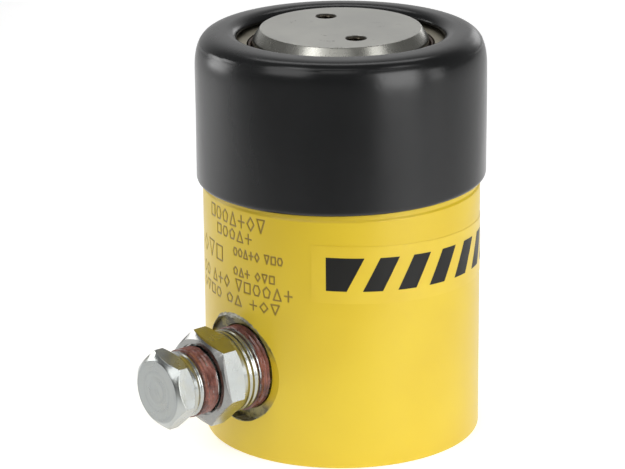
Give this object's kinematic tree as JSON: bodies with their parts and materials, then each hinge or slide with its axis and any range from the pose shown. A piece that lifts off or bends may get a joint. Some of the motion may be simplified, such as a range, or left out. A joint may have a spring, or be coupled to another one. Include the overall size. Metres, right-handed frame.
{
  "type": "hydraulic cylinder",
  "caption": "Compact single-acting spring-return hydraulic cylinder with a side port, threaded collar under a soft protector and a flat plunger face.",
  "frame": {"origin": "centre of the base face, on the cylinder axis", "axes": "+Z is the direction in which the plunger extends, -Y is the direction in which the side port points"},
  "size_m": [0.0598, 0.0789, 0.085],
  "materials": {
    "body_paint": "semi-gloss yellow enamel",
    "black_vinyl": "glossy dipped vinyl",
    "ground_steel": "faced and ground, light machining marks",
    "plated_gland": "dull plated",
    "zinc_plate": "bright zinc plate",
    "thread_sealant": "cured red-brown sealant",
    "spring_steel": "oiled",
    "dark_steel": "black oxide",
    "copper": "annealed copper",
    "urethane": "satin",
    "nylon": "satin",
    "black_plastic": "matte"
  },
  "bodies": {
    "barrel": {"cylinder_body": "body_paint", "gland_nut": "plated_gland", "rod_wiper": "urethane", "gland_bearing": "nylon", "return_spring": "spring_steel", "lower_spring_anchor": "dark_steel", "anchor_screw": "dark_steel", "anchor_copper_washer": "copper", "base_seal_plug": "black_plastic", "port_bushing": "zinc_plate", "bushing_sealant": "thread_sealant"},
    "ram": {"plunger": "ground_steel", "piston_bearing": "nylon", "piston_backup_ring": "nylon", "piston_u_cup": "urethane", "seal_retaining_washer": "dark_steel", "piston_snap_ring": "dark_steel", "upper_spring_anchor": "dark_steel"},
    "protector": {"collar_protector": "black_vinyl"},
    "plug_band": {"plug_sealant": "thread_sealant"},
    "plug": {"port_plug": "zinc_plate"}
  },
  "joints": [
    {"name": "ram_stroke", "type": "slide", "parent": "barrel", "child": "ram", "axis": [0, 0, 1], "range_m": [0, 0.0254], "stiffness_N_per_m": 3000, "springref_m": -0.02, "deforming": ["return_spring"]},
    {"name": "protector_lift", "type": "slide", "parent": "barrel", "child": "protector", "axis": [0, 0, 1], "range_m": [0, 0.06]},
    {"name": "plug_draw", "type": "slide", "parent": "barrel", "child": "plug_band", "axis": [0, -1, 0], "range_m": [0, 0.00917]},
    {"name": "plug_turn", "type": "hinge", "parent": "plug_band", "child": "plug", "pos_m": [0, -0.045, 0.0182], "axis": [0, -1, 0], "range_deg": [0, 2340]}
  ],
  "couplings": [
    {"joint": "plug_turn", "follows": "plug_draw", "rad_per_m": 4452.6}
  ]
}
